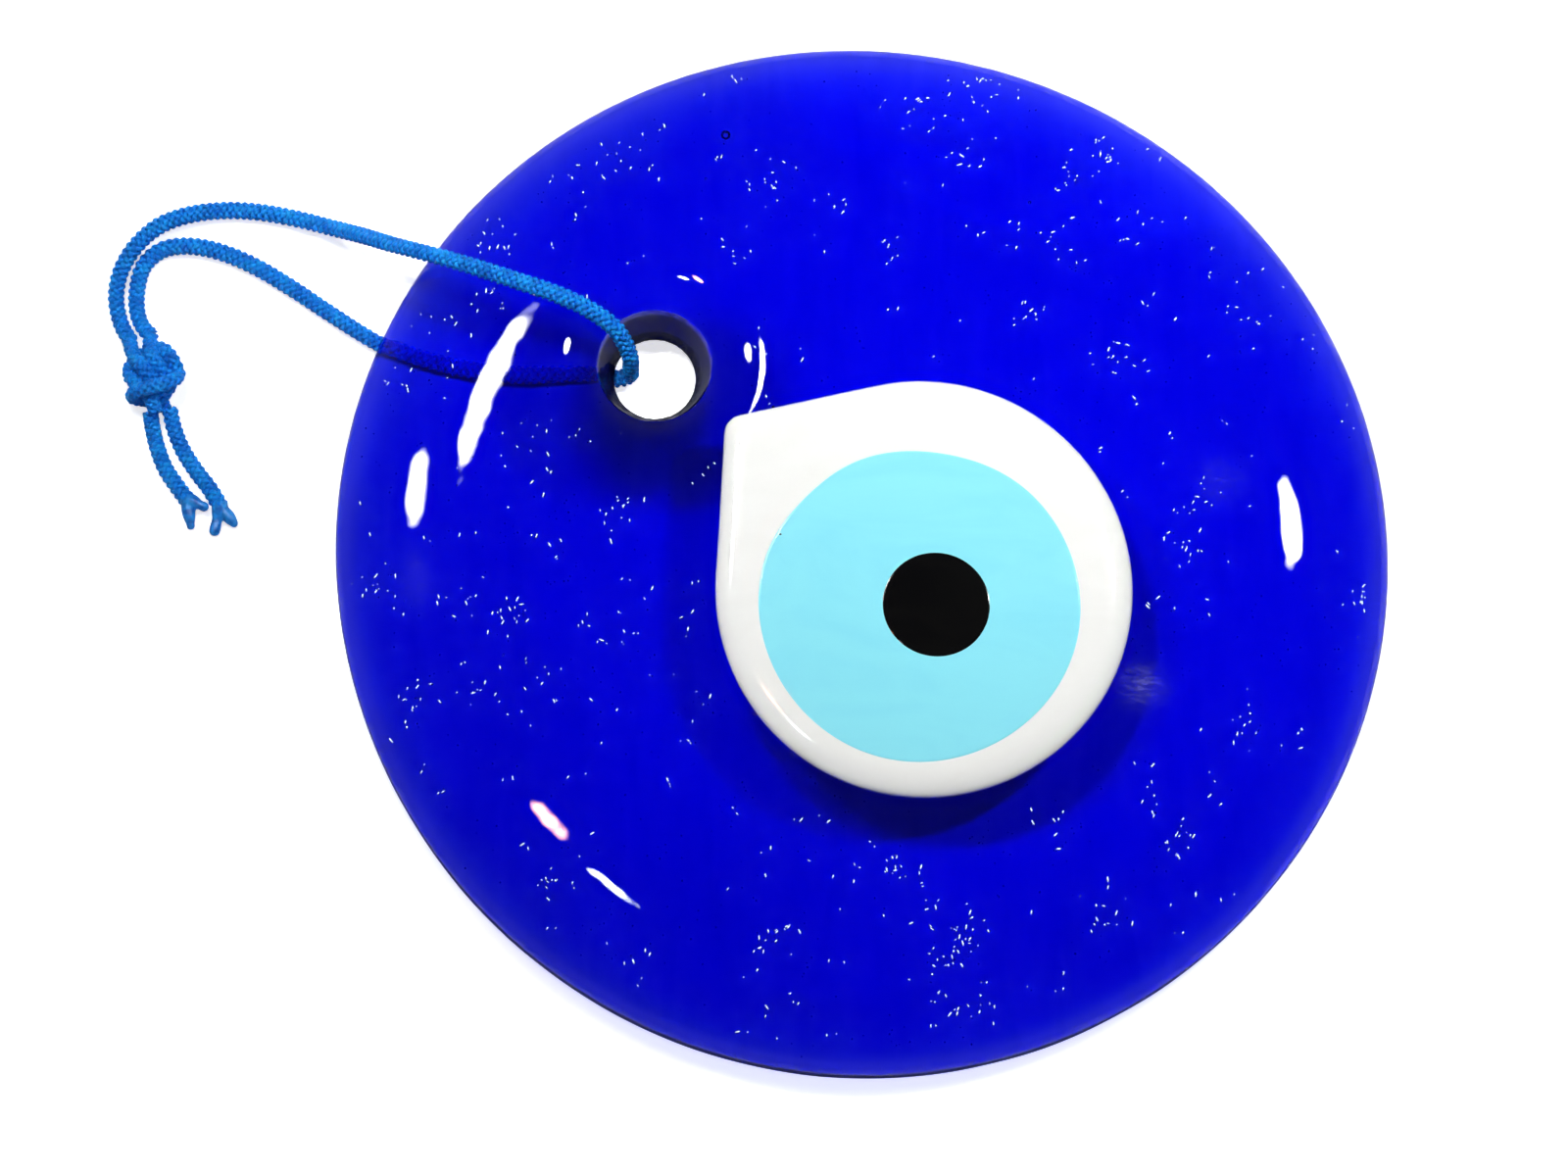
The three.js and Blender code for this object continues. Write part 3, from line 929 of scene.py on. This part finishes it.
def opal_glass(name, colour, shade, swirl_scale):
    """Opaque fire-polished glass with faint swirls where the gather was turned."""
    material, nodes, links, shader, _ = new_material(name)
    shader.inputs["Roughness"].default_value = 0.08
    shader.inputs["IOR"].default_value = 1.5
    drawn_out = stretched(nodes, links, (swirl_scale, swirl_scale * 2.4, swirl_scale), 0.5)
    swirl = noise_node(nodes, links, drawn_out, 1.0, 4, 2.5)
    swirled = ramp_node(nodes, links, swirl, [(0.35, (*shade, 1)), (0.6, (*colour, 1))])
    links.new(swirled, shader.inputs["Base Color"])
    waves = noise_node(nodes, links, stretched(nodes, links, (90, 90, 90)), 1.0, 2)
    links.new(bump_node(nodes, links, waves, 0.00003), shader.inputs["Normal"])
    return material


def fleck_material(name, colour, shade, roughness, painted_glint=0.0):
    """A small flaw in the glass; a painted glint strength above zero makes it glow, a painted highlight as if
    it caught a lamp.
    """
    material, nodes, links, shader, _ = new_material(name)
    shader.inputs["Emission Color"].default_value = (*colour, 1)
    shader.inputs["Emission Strength"].default_value = painted_glint
    shader.inputs["Roughness"].default_value = roughness
    vary = noise_node(nodes, links, stretched(nodes, links, (900, 900, 900)), 1.0, 2)
    varied = ramp_node(nodes, links, vary, [(0.4, (*shade, 1)), (0.6, (*colour, 1))])
    links.new(varied, shader.inputs["Base Color"])
    return material


def yarn_material():
    """Azure polyester yarn: fine filaments along each yarn, with a soft sheen."""
    material, nodes, links, shader, _ = new_material("cord_yarn")
    shader.inputs["Roughness"].default_value = 0.5
    shader.inputs["Specular IOR Level"].default_value = 0.25
    shader.inputs["Sheen Weight"].default_value = 0.05
    shader.inputs["Sheen Roughness"].default_value = 0.4
    uv = nodes.new("ShaderNodeUVMap")
    uv.uv_map = "along"
    mapping = nodes.new("ShaderNodeMapping")
    mapping.inputs["Scale"].default_value = (0.6, 26, 1)
    links.new(uv.outputs["UV"], mapping.inputs["Vector"])
    filaments = noise_node(nodes, links, mapping.outputs["Vector"], 1.0, 3)
    patches = noise_node(nodes, links, stretched(nodes, links, (700, 700, 700)), 1.0, 3)
    patchy = math_node(nodes, links, "MULTIPLY", patches, 0.4)
    mixed = math_node(nodes, links, "MULTIPLY_ADD", filaments, 0.6, patchy)
    colour = ramp_node(nodes, links, mixed, [
        (0.36, (0.0, 0.11, 0.6, 1)),
        (0.5, (0.0, 0.27, 0.95, 1)),
        (0.64, (0.01, 0.45, 1.0, 1)),
    ])
    links.new(colour, shader.inputs["Base Color"])
    links.new(bump_node(nodes, links, filaments, 0.00003), shader.inputs["Normal"])
    return material


def melt_material():
    """Polyester that was melted and set in smooth lumps."""
    material, nodes, links, shader, _ = new_material("cord_melt")
    shader.inputs["Roughness"].default_value = 0.3
    lumps = noise_node(nodes, links, stretched(nodes, links, (1400, 1400, 1400)), 1.0, 3)
    colour = ramp_node(nodes, links, lumps, [(0.35, (0.0, 0.12, 0.55, 1)), (0.65, (0.02, 0.33, 0.9, 1))])
    links.new(colour, shader.inputs["Base Color"])
    links.new(bump_node(nodes, links, lumps, 0.00008), shader.inputs["Normal"])
    return material


# ---------------------------------------------------------------- stage and light
def add_floor():
    """A plain pale floor that is a little brighter to the camera, so that it shows white."""
    material, nodes, links, shader, _ = new_material("floor")
    shader.inputs["Roughness"].default_value = 0.9
    shader.inputs["Specular IOR Level"].default_value = 0.1
    shader.inputs["Base Color"].default_value = (0.94, 0.94, 0.94, 1)
    glow = nodes.new("ShaderNodeEmission")
    glow.inputs["Strength"].default_value = 0.7
    path = nodes.new("ShaderNodeLightPath")
    seen_glow = nodes.new("ShaderNodeMixShader")
    links.new(path.outputs["Is Camera Ray"], seen_glow.inputs["Fac"])
    links.new(glow.outputs["Emission"], seen_glow.inputs[2])
    both = nodes.new("ShaderNodeAddShader")
    links.new(shader.outputs["BSDF"], both.inputs[0])
    links.new(seen_glow.outputs["Shader"], both.inputs[1])
    links.new(both.outputs["Shader"], nodes["Material Output"].inputs["Surface"])
    mesh = bpy.data.meshes.new("floor")
    half = 2.0
    corners = [(-half, -half, 0), (half, -half, 0), (half, half, 0), (-half, half, 0)]
    mesh.from_pydata(corners, [], [(0, 1, 2, 3)])
    mesh.materials.append(material)
    floor = bpy.data.objects.new("floor", mesh)
    bpy.context.scene.collection.objects.link(floor)


def add_lamp(name, place, aim, size, radiance, colour=(1, 1, 1), beam=180, lights=True, mirrored=True):
    """An oval lamp that lights the scene, is mirrored in it, or both."""
    data = bpy.data.lights.new(name, "AREA")
    data.shape = "ELLIPSE"
    data.size, data.size_y = size
    data.energy = radiance * math.pi * size[0] * size[1]
    data.color = colour
    data.spread = math.radians(beam)
    lamp = bpy.data.objects.new(name, data)
    lamp.location = place
    lamp.rotation_euler = (Vector(aim) - Vector(place)).to_track_quat("-Z", "Y").to_euler()
    lamp.visible_camera = False
    lamp.visible_diffuse = lights
    lamp.visible_glossy = mirrored
    lamp.visible_transmission = False
    bpy.context.scene.collection.objects.link(lamp)
    return lamp


LAMP_WIDENING = 1.9
LAMP_SHARE_LEFT = 0.41


def soften_edge(lamp):
    """Widens a lamp and fades it towards its edge, with as much light as before."""
    data = lamp.data
    data.size *= LAMP_WIDENING
    data.size_y *= LAMP_WIDENING
    data.energy /= LAMP_SHARE_LEFT
    data.use_nodes = True
    nodes, links = data.node_tree.nodes, data.node_tree.links
    spot = nodes.new("ShaderNodeNewGeometry")
    centred = nodes.new("ShaderNodeVectorMath")
    centred.operation = "DISTANCE"
    centred.inputs[1].default_value = (0.5, 0.5, 0)
    links.new(spot.outputs["Parametric"], centred.inputs[0])
    fade = nodes.new("ShaderNodeMapRange")
    fade.inputs["From Min"].default_value = 0.5
    fade.inputs["From Max"].default_value = 0.22
    links.new(centred.outputs["Value"], fade.inputs["Value"])
    faded = math_node(nodes, links, "POWER", fade.outputs["Result"], 2)
    links.new(faded, nodes["Emission"].inputs["Strength"])


WHITE_LIGHT = (1, 1, 1)
# each lamp: its place, its size, its radiance and its colour; the tinted ones are only mirrored
LAMPS = (
    ("lamp_left", (-0.094, 0.140, 0.411), (0.036, 0.024), 74, WHITE_LIGHT),
    ("lamp_far_left", (-0.189, 0.115, 0.394), (0.024, 0.032), 46, WHITE_LIGHT),
    ("lamp_right", (0.191, 0.1, 0.394), (0.024, 0.026), 98, WHITE_LIGHT),
    ("lamp_warm", (-0.092, -0.015, 0.427), (0.012, 0.02), 37, (1, 0.42, 0.22)),
    ("lamp_cool", (-0.079, -0.052, 0.427), (0.014, 0.012), 49, (0.85, 0.95, 1)),
)


def add_light():
    """Soft lamps in a room that is pale to the camera, dim at its walls and dark overhead."""
    world = bpy.data.worlds.new("studio")
    world.use_nodes = True
    nodes, links = world.node_tree.nodes, world.node_tree.links
    shown = nodes["Background"]
    direction = nodes.new("ShaderNodeTexCoord")
    height = nodes.new("ShaderNodeSeparateXYZ")
    links.new(direction.outputs["Generated"], height.inputs["Vector"])
    room = [(0.3, (0.22, 0.22, 0.24, 1)), (0.6, (0.03, 0.03, 0.033, 1))]
    walls = ramp_node(nodes, links, height.outputs["Z"], room)
    links.new(walls, shown.inputs["Color"])
    pale = nodes.new("ShaderNodeBackground")
    pale.inputs["Color"].default_value = (0.9, 0.91, 0.93, 1)
    path = nodes.new("ShaderNodeLightPath").outputs
    paler = math_node(nodes, links, "MULTIPLY_ADD", path["Is Transmission Ray"], 0.35, path["Is Camera Ray"])
    mixed = mix_shaders(nodes, links, paler, shown.outputs["Background"], pale.outputs["Background"])
    links.new(mixed, nodes["World Output"].inputs["Surface"])
    bpy.context.scene.world = world
    aim = (0.06, 0.09, 0.01)
    for name, place, size, radiance, colour in LAMPS:
        lamp = add_lamp(name, place, aim, size, radiance, colour, beam=80, lights=colour == WHITE_LIGHT)
        soften_edge(lamp)
    add_lamp("fill", (-0.2, 0.3, 0.8), (0, 0, 0), (0.8, 0.8), 0.12, mirrored=False)


def main():
    add_camera()
    yarn, melt = yarn_material(), melt_material()
    add_cord(yarn, melt)
    points, faces = disc_mesh()
    disc = add_glass("disc_glass", points, faces, blue_glass(), "glass_disc", "blue_glass")
    for name, values in (
        ("light_lost", light_lost(points)),
        ("scuffed", scuffed(points)),
        ("edge_shade", edge_shade(points)),
    ):
        disc.data.attributes.new(name, "FLOAT", "POINT").data.foreach_set("value", values)
    add_eye(
        opal_glass("white_glass", (0.96, 0.96, 0.93), (0.94, 0.94, 0.905), 40),
        opal_glass("light_blue_glass", (0.3, 0.87, 1.0), (0.28, 0.84, 0.99), 40),
        opal_glass("black_glass", (0.003, 0.003, 0.003), (0.0015, 0.0015, 0.002), 60),
    )
    add_flaws(
        # painted highlight: pale flecks that glow with emission, in place of glints of the lamps
        fleck_material("painted_sparkle", (0.8, 0.93, 1.0), (0.45, 0.7, 1.0), 0.25, painted_glint=0.6),
        fleck_material("dark_specks", (0.002, 0.002, 0.03), (0.0, 0.0, 0.01), 0.3),
    )
    add_floor()
    add_light()
    bpy.context.scene.view_settings.view_transform = "Standard"


main()
